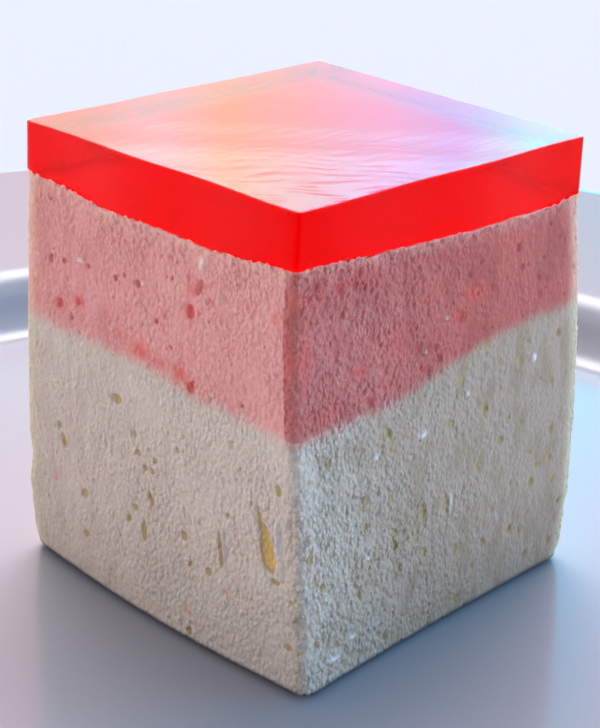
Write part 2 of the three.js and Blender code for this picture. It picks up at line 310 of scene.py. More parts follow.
def mousse_seam(x, y):
    """The seam under the red jelly lifts at the left edge, the front edge and the right corner."""
    across = (x - y) / block_side
    lift = np.where(across < 0, 1.1 * np.abs(across) ** 5, -0.5 * across ** 2)
    from_left_face = x + block_side / 2
    from_right_face = y + block_side / 2
    near_front = np.exp(-(from_left_face / 10.5) ** 2 - (from_right_face / 6) ** 2)
    near_right = np.exp(-((block_side - from_left_face) / 3) ** 2 - (from_right_face / 3) ** 2)
    lift += mousse_seam_rise * near_front
    lift += mousse_seam_rise * near_right
    return mousse_seam_level + lift + 0.1 * np.sin(x * 0.5) * np.cos(y * 0.4)


def cream_seam(x, y):
    """The seam over the cream is lowest at the front edge and highest towards the right."""
    right = x / block_side + 0.5
    left = y / block_side + 0.5
    arch = 0.5 * np.sin(math.pi * left) * (1 - right) - 0.6 * np.sin(2 * math.pi * right) * (1 - left)
    return cream_seam_level - 0.7 + 4.8 * right * (1 - 0.4 * left) + 1.6 * left + arch


column_count = sum(face_steps) + 4 * corner_steps
column_face = np.concatenate([np.full(steps + corner_steps, f) for f, steps in enumerate(face_steps)])
column_along = np.concatenate([
    np.concatenate([np.zeros(corner_steps), block_side * (np.arange(steps) + 1) / (steps + 1)])
    for steps in face_steps
])
on_corner = column_along == 0
on_shown = (column_face == RIGHT) | (column_face == LEFT)
at_back = ~on_shown


def by_face(right, left, behind):
    """A value for each column, from those for the right, the left and the two hidden faces."""
    return np.select([column_face == RIGHT, column_face == LEFT], [right, left], behind)


# The crumbs along the jelly's lower edge, which both the mousse and the jelly follow.
draw = np.random.default_rng(41)
crumb_kernel = np.array([0.2, 0.45, 0.6, 0.45, 0.2])
crumbs = np.convolve(np.pad(draw.standard_normal(column_count), 2, mode="wrap"), crumb_kernel, "valid")
crumbs = np.where(on_shown, 0.16, 0.03) * np.clip(crumbs, -1.3, 1.3)

cream_rows = 134
mousse_rows = 96
middle = outline(np.full((1, column_count), 25.0), np.zeros((1, column_count)), mousse_corner)[0]
cream_edge = cream_seam(*middle.T)
jelly_edge = mousse_seam(*middle.T) + crumbs
cream_part = np.linspace(0, 1, cream_rows)[:, None]
mousse_part = np.linspace(0, 1, mousse_rows)[1:, None]
skin_heights = np.concatenate([
    cream_part * cream_edge,
    cream_edge + mousse_part * (jelly_edge - cream_edge),
])
foot_inset = np.interp(skin_heights, [0, 0.22, 0.45], [1.4, 0.9, 0])
lift_above_cream = skin_heights - cream_edge
skin_inset = foot_inset + np.interp(lift_above_cream, [-12, 0, 14], [0, 0.05, 0.1])
under_jelly = at_back * np.exp(-((jelly_edge - skin_heights) / 0.8) ** 2)
skin_inset -= 0.15 * under_jelly
skin_plan = outline(skin_heights, skin_inset, mousse_corner)
skin_rings = np.concatenate([skin_plan, skin_heights[..., None]], -1)
skin_along = np.broadcast_to(column_along, skin_heights.shape)


def from_spot(face, from_front, up):
    """How far each point of the skin lies along and above a spot on a face."""
    along = block_side - from_front if face == LEFT else from_front
    return skin_along - along, skin_heights - up


# What the knife tore or opened on the two faces that show best: along from the front edge, up
# from the plate, width, height, depth, lean to the right, and the height of its raised lip.
tears = {
    LEFT: [
        (3.55, 15.0, 2.4, 5.8, 1.1, -0.14, 0.24), (4.5, 17.9, 0.8, 3.6, 0.7, -0.16, 0.16),
        (2.6, 11.8, 1.6, 0.85, 0.45, 0, 0), (26.9, 23.4, 2.1, 1.25, 0.6, 0, 0),
        (36.4, 15.6, 2.1, 1.1, 0.55, 1.3, 0), (33.0, 10.4, 1.5, 1.15, 0.5, 0, 0),
        (32.5, 5.8, 1.35, 1.1, 0.5, 0, 0), (23.3, 18.5, 1.1, 1.0, 0.45, 0, 0),
        (20.6, 18.5, 0.95, 0.95, 0.45, 0, 0.05), (22.1, 17.2, 0.9, 0.9, 0.4, 0, 0),
        (21.0, 17.2, 0.9, 0.8, 0.4, 0, 0), (21.6, 19.4, 0.6, 0.7, 0.3, 0, 0),
        (21.5, 13.9, 0.85, 2.3, 0.5, -0.42, 0), (24.1, 12.0, 1.1, 1.0, 0.45, 0, 0),
        (22.5, 10.0, 0.95, 3.0, 0.5, -0.15, 0), (16.5, 11.5, 1.35, 1.3, 0.5, 0.5, 0.1),
        (12.5, 9.0, 1.2, 1.05, 0.5, 0, 0), (10.7, 12.3, 1.0, 4.6, 0.45, -0.10, 0.12),
        (9.2, 16.3, 1.0, 1.2, 0.45, 0, 0.1), (16.7, 21.0, 0.8, 0.9, 0.35, 0, 0),
        (5.6, 19.1, 0.7, 0.7, 0.35, 0, 0), (8.3, 24.3, 0.8, 1.4, 0.2, 0.1, 0),
        (7.0, 22.0, 0.7, 1.5, 0.18, -0.1, 0), (0.9, 5.2, 1.3, 1.0, 0.35, 0, 0),
        (1.6, 21.8, 1.2, 1.6, 0.35, 0, 0), (18.9, 17.6, 0.7, 1.1, 0.2, 0.2, 0),
        (14.3, 36.5, 1.5, 1.7, 0.65, 0, 0), (22.9, 37.1, 1.1, 1.0, 0.45, 0, 0.06),
        (36.4, 31.5, 1.25, 1.2, 0.5, 0, 0), (33.2, 32.5, 1.0, 1.0, 0.35, 0, 0),
        (38.2, 36.0, 0.95, 1.2, 0.4, 0, 0), (35.8, 36.3, 0.85, 0.9, 0.35, 0, 0),
        (34.3, 30.6, 0.6, 1.3, 0.3, 0, 0), (31.5, 36.8, 1.1, 0.7, 0.3, 0.3, 0.06),
        (19.8, 34.0, 0.8, 0.8, 0.35, 0, 0), (14.1, 28.6, 1.3, 1.5, 0.6, 0, 0),
        (26.7, 36.7, 0.8, 1.0, 0.35, 0, 0), (25.2, 37.4, 0.7, 0.8, 0.3, 0, 0),
        (12.9, 39.3, 1.2, 2.4, 0.3, 0.45, 0.22), (11.4, 38.3, 0.8, 1.5, 0.2, 0.7, 0.16),
        (13.6, 29.4, 0.7, 0.6, 0.3, 0, 0), (17.3, 31.9, 0.6, 0.7, 0.3, 0, 0),
    ],
    RIGHT: [
        (12.6, 12.4, 2.3, 1.0, 0.6, 1.15, 0.08), (17.3, 9.8, 1.6, 0.9, 0.5, 1.1, 0),
        (17.0, 14.4, 1.0, 2.9, 0.5, -0.1, 0.08), (16.2, 13.1, 0.8, 1.0, 0.4, 0, 0),
        (16.0, 11.7, 0.9, 1.0, 0.4, 0, 0), (7.9, 18.4, 1.2, 3.2, 0.22, 0.7, 0),
        (12.2, 23.7, 2.6, 1.4, 0.2, 1.3, 0), (26.9, 23.3, 1.1, 1.5, 0.5, 0.2, 0.1),
        (38.5, 14.0, 1.1, 1.2, 0.5, 0, 0), (3.2, 24.1, 1.0, 1.2, 0.35, 0, 0),
        (3.8, 4.6, 1.1, 1.1, 0.4, 0, 0), (10.2, 22.6, 0.9, 1.1, 0.35, 0.2, 0),
        (23.3, 27.4, 1.2, 1.3, 0.45, 0.3, 0), (20.5, 14.6, 0.7, 3.2, 0.3, -0.05, 0.1),
        (8.0, 7.2, 0.9, 1.1, 0.35, 0.2, 0), (12.5, 8.4, 0.8, 1.2, 0.35, 0, 0),
        (0.6, 12.7, 0.9, 2.2, 0.3, 0.1, 0), (0.9, 5.6, 1.1, 0.9, 0.35, 0.6, 0),
        (25.6, 17.0, 1.6, 2.3, 0.22, 0.6, 0), (30.6, 21.2, 1.0, 1.3, 0.3, 0.3, 0.06),
        (22.9, 34.4, 1.25, 1.4, 0.6, 0.3, 0), (16.3, 32.6, 0.95, 1.0, 0.45, 0, 0),
        (19.1, 32.2, 0.9, 1.1, 0.45, 0, 0), (35.8, 34.1, 1.0, 1.3, 0.45, 0, 0),
        (27.3, 30.2, 1.1, 1.0, 0.4, 0.4, 0), (35.6, 35.9, 0.8, 0.9, 0.35, 0, 0),
        (1.0, 39.0, 0.6, 0.7, 0.3, 0, 0), (0.7, 36.2, 0.9, 1.3, 0.3, 0, 0),
    ],
}
bowl_share = 0.5
tear_depth = np.zeros(skin_heights.shape)
tear_shade_and_glow = np.zeros(skin_heights.shape)
lip_height = np.zeros(skin_heights.shape)
for face, rows in tears.items():
    for from_front, up, width, tall, depth, lean, lip in rows:
        across, above = from_spot(face, from_front, up)
        over = across * math.cos(lean) - above * math.sin(lean)
        length = across * math.sin(lean) + above * math.cos(lean)
        if tall > 2 * width:
            over = over / np.clip(1 - 0.35 * length / (tall / 2), 0.5, 1.4)
        reach = np.hypot(over / (width / 2), length / (tall / 2))
        reach[:, (column_face != face) | on_corner] = 9
        side = over / (width / 2)
        slope = 0.8 + 0.4 * np.clip(side, -1, 1)
        bowl = bowl_share * depth * np.sqrt(np.clip(1 - reach ** 2, 0, 1)) * slope
        # Painted shade and glow: the hollow is coloured amber or deep red, more strongly where it is
        # deeper and towards its steep right side.
        deep_colour = np.interp(depth, [0.15, 0.4, 0.6, 0.9], [0.3, 0.6, 0.65, 1])
        hollow_shade_and_glow = deep_colour * np.clip((1 - reach) / 0.3, 0, 1)
        tear_depth = np.maximum(tear_depth, bowl)
        tear_shade_and_glow = np.maximum(tear_shade_and_glow, hollow_shade_and_glow * np.clip(0.9 + 0.25 * side, 0, 1))
        lip_side = np.clip(side - 0.35, 0, 1)
        lip_height = np.maximum(lip_height, lip * lip_side * np.exp(-((reach - 1.2) / 0.2) ** 2))

# Wet flecks that stand out of the skin and catch the light, with a painted highlight in their
# colour: along, up, width, height.
flecks = {
    LEFT: [
        (32.6, 37.1, 1.5, 0.5), (12.6, 41.7, 1.2, 1.5), (21.8, 37.4, 0.7, 0.5), (9.6, 39.1, 0.4, 1.6),
        (1.9, 16.8, 0.45, 4.4), (2.3, 13.4, 0.45, 2.0), (10.0, 13.0, 0.4, 3.8), (9.1, 15.8, 0.4, 0.9),
    ],
    RIGHT: [
        (34.7, 27.1, 1.0, 0.9), (24.2, 25.7, 0.7, 0.6), (16.8, 23.3, 1.7, 0.6), (10.0, 22.9, 1.0, 0.6),
        (5.8, 17.3, 0.5, 0.8), (8.3, 12.4, 0.7, 0.4), (29.1, 9.5, 0.3, 1.7), (17.3, 32.2, 0.6, 0.4),
        (20.8, 34.9, 0.5, 0.4), (21.3, 14.4, 0.3, 2.6), (3.2, 3.2, 1.9, 0.5), (6.0, 4.4, 1.6, 0.4),
    ],
}
wet_glint = np.zeros(skin_heights.shape)
for face, rows in flecks.items():
    for from_front, up, width, tall in rows:
        across, above = from_spot(face, from_front, up)
        reach = np.hypot(across / (width / 2), above / (tall / 2))
        reach[:, (column_face != face) | on_corner] = 9
        wet_glint = np.maximum(wet_glint, np.clip(1.3 - reach, 0, 1))
lip_height = np.maximum(lip_height, 0.32 * wet_glint)

# Red syrup from the jelly that the knife carried down: along, up, width, height, strength.
smears = {
    LEFT: [
        (22.5, 30.0, 3.4, 1.7, 0.85), (19.4, 29.9, 2.4, 1.2, 0.5), (15.7, 29.6, 2.4, 1.6, 0.8),
        (33.0, 32.6, 1.9, 1.3, 0.8), (36.4, 31.5, 1.7, 1.5, 0.6), (14.3, 36.5, 1.9, 2.0, 0.6),
        (14.1, 28.6, 1.7, 1.8, 0.8), (14.1, 39.0, 1.8, 2.4, 0.45), (1.2, 39.4, 1.2, 1.4, 0.5),
        (12.4, 27.8, 2.0, 1.2, 0.4), (25.9, 30.7, 2.8, 1.2, 0.35), (38.1, 10.7, 0.9, 1.1, 0.45),
        (9.5, 7.8, 0.7, 0.6, 0.75), (15.5, 3.8, 0.9, 0.8, 0.6), (30.0, 6.6, 0.7, 0.7, 0.3),
        (18.4, 34.9, 1.6, 2.4, 0.25), (28.4, 32.0, 2.4, 1.0, 0.25),
    ],
    RIGHT: [
        (25.2, 36.5, 3.2, 1.9, 0.8), (8.1, 32.4, 2.2, 1.5, 0.5), (0.4, 35.7, 1.2, 5.6, 0.6),
        (12.6, 34.2, 5.0, 3.6, 0.35), (0.6, 39.2, 0.7, 0.8, 0.8), (0.9, 36.2, 0.7, 1.3, 0.8),
        (0.9, 41.4, 3.0, 3.0, 0.5), (7.6, 41.9, 8.0, 2.2, 0.5), (3.4, 29.3, 5.6, 1.7, 0.5),
        (11.2, 30.2, 4.0, 1.4, 0.3), (22.9, 34.4, 1.5, 1.7, 0.8), (17.9, 37.9, 4.0, 1.5, 0.2),
        (32.0, 41.0, 7.0, 1.6, 0.25),
    ],
}
syrup = np.zeros(skin_heights.shape)
for face, rows in smears.items():
    for from_front, up, width, tall, strength in rows:
        across, above = from_spot(face, from_front, up)
        reach = np.hypot(across / (width / 2), above / (tall / 2))
        reach[:, column_face != face] = 9
        syrup = np.maximum(syrup, strength * np.exp(-reach ** 2))

# The grain is coarsest beside the front edge on the right, where the knife came out, and the
# left face was smoothed by it.
from_front = np.where(column_face == LEFT, block_side - column_along, column_along)
right_grain = np.interp(from_front, [0, 3, 10, 20, 30, 42], [0.8, 0.95, 0.85, 0.55, 0.32, 0.16])
left_grain = np.interp(from_front, [0, 8, 25, 42], [0.5, 0.48, 0.4, 0.25])
crumbly = by_face(0.15, 0.4, 0.15) * np.exp(-((jelly_edge - skin_heights) / 4) ** 2)
coarseness = by_face(right_grain, left_grain, 0.4) * (1 + crumbly)
cream_share = by_face(0.6, 0.06, 0.4)
pink_share = by_face(0.25, 0.1, 0.3)
fine_share = by_face(right_grain, 0.28, 0.4)
grain_share = np.clip(skin_heights / 1.6, 0.1, 1) * (1 - under_jelly)
# Painted shade: the colour turns darker and browner along the shown faces away from their front edge,
# and partly on the hidden faces. The knife streaks show where it is strongest.
right_far_end_shade = np.interp(from_front, [0, 6, 14, 24], [0.05, 0.4, 0.85, 1])
left_far_end_shade = np.interp(from_front, [6, 42], [0.05, 0.28])
cream_far_end_shade = by_face(right_far_end_shade, left_far_end_shade, 0.4)
pink_far_end_shade = np.where(column_face == RIGHT, np.maximum(cream_far_end_shade, 0.7), cream_far_end_shade)
far_end_shade = np.where(lift_above_cream > 0, pink_far_end_shade, cream_far_end_shade)
# How strongly each face gets the painted highlight under the jelly's lower edge.
crumb_highlight_share = by_face(0.35, 0.8, 0.8)
knife_pull = by_face(0.85, 0.9, 0.8)
from_corner = np.where(on_corner, 0, np.minimum(column_along, block_side - column_along))
opening = np.where(on_shown, 0, np.clip(from_corner / 4, 0, 1))

# Painted glow: the colour turns lighter and warmer at the thin upright edges at the sides and the
# back, where light from behind comes through.
corner_distance = by_face(block_side - column_along, column_along, from_corner)
corner_distance = np.where(on_corner & (column_face != RIGHT), 0, corner_distance)
edge_glow = 0.7 * np.exp(-(corner_distance / 0.8) ** 2)


def set_values(mesh, name, values):
    """Keep a number for each point of a mesh."""
    attribute = mesh.attributes.new(name, "FLOAT", "POINT")
    attribute.data.foreach_set("value", np.ascontiguousarray(values, np.float32).ravel())


skin_mesh = bpy.data.meshes.new("cut_skin")
skin_mesh.from_pydata(skin_rings.reshape(-1, 3), [], tube_faces(*skin_heights.shape).tolist())
skin_values = {
    "tear": tear_depth,
    "hollow_shade_and_glow": tear_shade_and_glow,
    "lip": lip_height,
    "coarseness": coarseness * grain_share,
    "knife_pull": np.broadcast_to(knife_pull, skin_heights.shape),
    "large_share": np.broadcast_to(opening, skin_heights.shape),
    "small_share": np.where(lift_above_cream > 0, pink_share, cream_share),
    "fine_share": np.broadcast_to(fine_share, skin_heights.shape),
}
for name, values in skin_values.items():
    set_values(skin_mesh, name, values)
skin = bpy.data.objects.new("cut_skin", skin_mesh)
bpy.context.scene.collection.objects.link(skin)

# Three sizes of bubble: least distance, most in a square millimetre, smallest and largest
# radius, depth for its radius, how strongly its hollow is painted with shade and glow, and the seed.
bubble_kinds = {
    "large": (3.6, 0.09, 0.42, 0.80, 0.6, 1.0, 5),
    "small": (1.9, 0.09, 0.26, 0.52, 0.6, 0.6, 11),
    "fine": (0.75, 0.6, 0.14, 0.24, 0.9, 0.45, 23),
}
foam = bpy.data.node_groups.new("opened_foam", "GeometryNodeTree")
foam.interface.new_socket("Skin", in_out="INPUT", socket_type="NodeSocketGeometry")
foam_values = {"Bubble height": 1.25, "Grain height": 0.5, "Grain size": 0.62}
for kind, (apart, most, smallest, largest, deep, tint, seed) in bubble_kinds.items():
    foam_values[f"{kind} apart"] = apart
    foam_values[f"{kind} most"] = most
    foam_values[f"{kind} smallest"] = smallest
    foam_values[f"{kind} largest"] = largest
    foam_values[f"{kind} depth"] = deep
    foam_values[f"{kind} tint"] = tint
foam_sockets = {}
for name in foam_values:
    foam_sockets[name] = foam.interface.new_socket(
        name, in_out="INPUT", socket_type="NodeSocketFloat",
    ).identifier
foam.interface.new_socket("Skin", in_out="OUTPUT", socket_type="NodeSocketGeometry")
given = node(foam, "NodeGroupInput")


def value(name):
    """A number that the skin carries at each point."""
    return out(node(foam, "GeometryNodeInputNamedAttribute", {"Name": name}, data_type="FLOAT"))


def math_node(operation, *inputs):
    return out(node(foam, "ShaderNodeMath", dict(enumerate(inputs)), operation=operation))


def vector_node(operation, *inputs):
    return out(node(foam, "ShaderNodeVectorMath", dict(enumerate(inputs)), operation=operation))


position = out(node(foam, "GeometryNodeInputPosition"))
ragged = out(node(foam, "ShaderNodeTexNoise", {"Vector": position, "Scale": 1.9, "Detail": 1}), "Fac")
raggedness = math_node("MULTIPLY_ADD", ragged, 0.8, 0.6)
depth = value("tear")
hollow = value("hollow_shade_and_glow")
for kind, (*_, seed) in bubble_kinds.items():
    points = out(node(foam, "GeometryNodeDistributePointsOnFaces", {
        "Mesh": out(given, "Skin"),
        "Distance Min": out(given, f"{kind} apart"),
        "Density Max": out(given, f"{kind} most"),
        "Density Factor": value(f"{kind}_share"),
        "Seed": seed,
    }, distribute_method="POISSON"), "Points")
    radius = out(node(foam, "FunctionNodeRandomValue", {
        "Min": out(given, f"{kind} smallest"),
        "Max": out(given, f"{kind} largest"),
        "Seed": seed,
    }, data_type="FLOAT"))
    sized = out(node(foam, "GeometryNodeStoreNamedAttribute", {
        "Geometry": points, "Name": "radius_drawn", "Value": radius,
    }, data_type="FLOAT", domain="POINT"))
    nearest = out(node(foam, "GeometryNodeSampleNearest", {
        "Geometry": sized, "Sample Position": position,
    }, domain="POINT"))
    centre = out(node(foam, "GeometryNodeSampleIndex", {
        "Geometry": sized, "Value": position, "Index": nearest,
    }, data_type="FLOAT_VECTOR", domain="POINT"))
    size = out(node(foam, "GeometryNodeSampleIndex", {
        "Geometry": sized, "Value": value("radius_drawn"), "Index": nearest,
    }, data_type="FLOAT", domain="POINT"))
    away = vector_node("SUBTRACT", position, centre)
    flattening = out(node(foam, "ShaderNodeCombineXYZ", {
        "X": 1, "Y": 1, "Z": math_node("DIVIDE", 1, out(given, "Bubble height")),
    }))
    round_away = vector_node("MULTIPLY", away, flattening)
    distance = math_node("MULTIPLY", vector_node("LENGTH", round_away), raggedness)
    within = math_node(
        "SUBTRACT", math_node("MULTIPLY", size, size), math_node("MULTIPLY", distance, distance),
    )
    pit = math_node("SQRT", math_node("MAXIMUM", within, 0))
    depth = math_node("MAXIMUM", depth, math_node("MULTIPLY", pit, out(given, f"{kind} depth")))
    # Painted shade and glow: each bubble's hollow is coloured more strongly towards its deep middle.
    filling = math_node("MINIMUM", math_node("MULTIPLY", math_node("DIVIDE", pit, size), 1.5), 1)
    hollow = math_node("MAXIMUM", hollow, math_node("MULTIPLY", filling, out(given, f"{kind} tint")))

pulled = out(node(foam, "ShaderNodeCombineXYZ", {"X": 1, "Y": 1, "Z": value("knife_pull")}))
grain_place = vector_node("MULTIPLY", position, pulled)
grain_scale = math_node("DIVIDE", 1, out(given, "Grain size"))
cells = out(node(foam, "ShaderNodeTexVoronoi", {
    "Vector": grain_place, "Scale": grain_scale, "Smoothness": 0.3,
}, feature="SMOOTH_F1"), "Distance")
rolling = out(node(foam, "ShaderNodeTexNoise", {
    "Vector": grain_place, "Scale": math_node("MULTIPLY", grain_scale, 0.35), "Detail": 1,
}), "Fac")
mixed_grain = math_node("ADD", math_node("SUBTRACT", 0.42, cells), math_node("SUBTRACT", rolling, 0.5))
calm = math_node("SUBTRACT", 1, math_node("MULTIPLY", hollow, 0.9))
patches = out(node(foam, "ShaderNodeTexNoise", {"Vector": position, "Scale": 0.22, "Detail": 2}), "Fac")
patchy = out(node(foam, "ShaderNodeMapRange", {
    "Value": patches, "From Min": 0.35, "From Max": 0.65, "To Min": 0.55, "To Max": 1.3,
}))
grain = math_node("MULTIPLY", math_node("MULTIPLY", mixed_grain, patchy), out(given, "Grain height"))
grain = math_node("MULTIPLY", math_node("MULTIPLY", grain, value("coarseness")), calm)
rise = math_node("SUBTRACT", math_node("ADD", grain, value("lip")), depth)
outward = out(node(foam, "GeometryNodeInputNormal"))
moved = out(node(foam, "GeometryNodeSetPosition", {
    "Geometry": out(given, "Skin"),
    "Offset": out(node(foam, "ShaderNodeVectorMath", {0: outward, "Scale": rise}, operation="SCALE")),
}))
marked = out(node(foam, "GeometryNodeStoreNamedAttribute", {
    "Geometry": moved, "Name": "hollow", "Value": hollow,
}, data_type="FLOAT", domain="POINT"))
real = out(node(foam, "GeometryNodeRealizeInstances", {"Geometry": marked}))

# How the mousse looks: cream or pink as the point lies under or over the seam between them, with
# amber or deep red where foam was opened, which is painted shade and painted glow of light through
# the foam, and red where syrup was carried.
cream_tone = (0.87, 0.77, 0.64, 1)
pink_tone = (1.0, 0.50, 0.44, 1)
cream_patch = (0.70, 0.66, 0.55, 1)
rosy_patch = (0.78, 0.64, 0.58, 1)
pink_patch = (0.92, 0.39, 0.36, 1)
cream_glint_paint = (0.98, 0.96, 0.92, 1)
pink_glint_paint = (1.0, 0.78, 0.70, 1)
cream_hollow_shade = (0.58, 0.41, 0.18, 1)
cream_tear_glow = (0.90, 0.60, 0.16, 1)
pink_hollow_shade = (0.58, 0.10, 0.10, 1)
cream_glow = (0.84, 0.74, 0.48, 1)
pink_glow = (1.0, 0.64, 0.44, 1)
crumb_highlight_tone = (1.0, 0.56, 0.42, 1)
syrup_tone = (0.88, 0.12, 0.09, 1)
cream_far_end_tone = (0.57, 0.435, 0.33, 1)
pink_far_end_tone = (0.65, 0.165, 0.13, 1)
cream_streak = (0.44, 0.32, 0.20, 1)
pink_streak = (0.50, 0.11, 0.09, 1)
cream_shade = (0.54, 0.46, 0.33, 1)
pink_shade = (0.66, 0.17, 0.16, 1)
foot_shadow_tone = (0.06, 0.07, 0.10, 1)
bed_tone = (0.97, 0.45, 0.40, 1)


def mousse_material(name):
    """Whipped jelly mousse: soft, moist and full of bubbles too small to be modelled."""
    material, tree, shader = new_material(name)

    def attribute(key):
        return out(node(tree, "ShaderNodeAttribute", attribute_name=key), "Fac")

    def mix(factor, first, second):
        return mixed(tree, factor, first, second)

    def sums(operation, *inputs):
        return out(node(tree, "ShaderNodeMath", dict(enumerate(inputs)), operation=operation))

    def ramp(source, low, high, to_low=0, to_high=1):
        return out(node(tree, "ShaderNodeMapRange", {
            "Value": source, "From Min": low, "From Max": high, "To Min": to_low, "To Max": to_high,
        }, interpolation_type="SMOOTHSTEP"))

    def noise(scale, detail, roughness=0.5):
        return out(node(tree, "ShaderNodeTexNoise", {
            "Vector": grain_place, "Scale": scale, "Detail": detail, "Roughness": roughness,
        }), "Fac")

    def pores(scale, size, share):
        """Round pits, in some of the cells of a pattern."""
        cell = node(tree, "ShaderNodeTexVoronoi", {"Vector": grain_place, "Scale": scale}, feature="F1")
        chance = out(node(tree, "ShaderNodeSeparateColor", {"Color": out(cell, "Color")}), "Red")
        reach = sums("DIVIDE", out(cell, "Distance"), ramp(chance, 1 - share, 1, size * 0.6, size))
        return sums("MULTIPLY", ramp(reach, 1, 0.25), sums("GREATER_THAN", chance, 1 - share))

    place = out(node(tree, "ShaderNodeTexCoord"), "Object")
    grain_place = out(node(tree, "ShaderNodeMapping", {"Vector": place, "Scale": (1, 1, 0.77)}))
    streaks = out(node(tree, "ShaderNodeTexNoise", {
        "Vector": out(node(tree, "ShaderNodeMapping", {"Vector": place, "Scale": (1, 1, 0.4)})),
        "Scale": 520, "Detail": 2,
    }), "Fac")
    blur = sums("MULTIPLY_ADD", noise(600, 3), 1.6, -0.8)
    pinkness = ramp(sums("ADD", attribute("above"), blur), -1.1, 0.9)
    coarse = sums("MULTIPLY", attribute("coarse"), ramp(noise(240, 2), 0.3, 0.7, 0.6, 1.25))
    froth = noise(1500, 2, 0.6)
    pebbles = out(node(tree, "ShaderNodeTexVoronoi", {
        "Vector": grain_place, "Scale": 2100, "Smoothness": 0.25,
    }, feature="SMOOTH_F1"), "Distance")
    pitted = sums("MAXIMUM", pores(1500, 0.44, 0.35), sums("MULTIPLY", pores(2700, 0.45, 0.5), 0.7))
    mottle = mix(ramp(noise(260, 2), 0.35, 0.65), cream_patch, rosy_patch)
    body = mix(pinkness, cream_tone, pink_tone)
    patches = ramp(noise(170, 3), 0.3, 0.7, 0, 0.35)
    body = mix(patches, body, mix(pinkness, mottle, pink_patch))
    # Painted shade, darker and browner away from the front edge.
    body = mix(attribute("far_end_shade"), body, mix(pinkness, cream_far_end_tone, pink_far_end_tone))
    drawn = sums("MULTIPLY", attribute("far_end_shade"), ramp(streaks, 0.42, 0.66, 0, 0.75))
    body = mix(drawn, body, mix(pinkness, cream_streak, pink_streak))
    # Painted glow at the thin upright edges.
    body = mix(attribute("glow"), body, mix(pinkness, cream_glow, pink_glow))
    # Painted shade and glow in the opened hollows.
    opened = mix(ramp(attribute("hollow"), 0.6, 1.0), cream_hollow_shade, cream_tear_glow)
    body = mix(ramp(attribute("hollow"), 0.05, 0.55), body, mix(pinkness, opened, pink_hollow_shade))
    body = mix(attribute("syrup"), body, syrup_tone)
    shade = mix(pinkness, cream_shade, pink_shade)
    sunken = sums("MAXIMUM", sums("MULTIPLY", pitted, 0.7), ramp(pebbles, 0.42, 0.72, 0, 0.6))
    sunken = sums("MAXIMUM", sunken, ramp(froth, 0.36, 0.48, 0.5, 0))
    tone = mix(sums("MULTIPLY", sunken, coarse), body, shade)
    # Painted highlight: light peach on the froth's tops just under the jelly's lower edge.
    tone = mix(sums("MULTIPLY", attribute("crumb_highlight"), ramp(froth, 0.42, 0.52)), tone, crumb_highlight_tone)
    # Painted highlight: the wet flecks are coloured nearly white.
    tone = mix(attribute("wet_glint"), tone, mix(pinkness, cream_glint_paint, pink_glint_paint))
    # Painted contact shadow: a dark line along the foot, where the block meets the plate.
    tone = mix(attribute("foot_shadow"), tone, foot_shadow_tone)
    tone = mix(attribute("knifed"), bed_tone, tone)
    domes = sums("MULTIPLY_ADD", pebbles, -0.7, sums("MULTIPLY", froth, 0.6))
    smoothed = sums("MAXIMUM", sums("MULTIPLY", attribute("wet_glint"), 0.8), sums("MULTIPLY", drawn, 0.7))
    uneven = sums("MULTIPLY", coarse, sums("SUBTRACT", 1, smoothed))
    relief = out(node(tree, "ShaderNodeBump", {
        "Height": domes, "Strength": 1.0, "Distance": sums("MULTIPLY", uneven, 0.7 * MM),
    }))
    moisture = ramp(sums("ADD", domes, attribute("wet_glint")), -0.12, 0.4, 0.6, 0.15)
    near_seam = sums("ABSOLUTE", attribute("above"))
    glow = ramp(near_seam, 0.1, 1.6, 0.0, 0.2)
    tree.links.new(tone, shader.inputs["Base Color"])
    tree.links.new(relief, shader.inputs["Normal"])
    tree.links.new(moisture, shader.inputs["Roughness"])
    tree.links.new(glow, shader.inputs["Subsurface Weight"])
    shader.inputs["Subsurface Radius"].default_value = (1.0, 0.62, 0.38)
    shader.inputs["Subsurface Scale"].default_value = 0.4 * MM
    shader.inputs["IOR"].default_value = 1.40
    return material


cream_material = mousse_material("cream_mousse")
last = node(foam, "GeometryNodeSetMaterial", {"Geometry": real, "Material": cream_material})
node(foam, "NodeGroupOutput", {"Skin": out(last)})
modifier = skin.modifiers.new("opened_foam", "NODES")
modifier.node_group = foam
for name, identifier in foam_sockets.items():
    modifier[identifier] = foam_values[name]
evaluated = skin.evaluated_get(bpy.context.evaluated_depsgraph_get())
foam_mesh = bpy.data.meshes.new_from_object(evaluated)
skin.modifiers.remove(modifier)
skin_points = np.empty(len(foam_mesh.vertices) * 3, np.float32)
foam_mesh.vertices.foreach_get("co", skin_points)
skin_points = skin_points.reshape(*skin_heights.shape, 3).astype(float)
skin_hollow = np.empty(skin_heights.size, np.float32)
foam_mesh.attributes["hollow"].data.foreach_get("value", skin_hollow)
skin_hollow = skin_hollow.reshape(skin_heights.shape)
bpy.data.objects.remove(skin)


def cap_rings(edge, scales, surface):
    """Rings from an edge in towards the block's middle, at the heights of a surface."""
    rings = []
    for scale in scales:
        plan = edge[:, :2] * scale
        rings.append(np.concatenate([plan, surface(*plan.T)[:, None]], -1))
    return np.array(rings)


def placed(rings):
    """Points of the block moved to its place in the plate's well."""
    return rings + np.array([block_x, block_y, well_level])


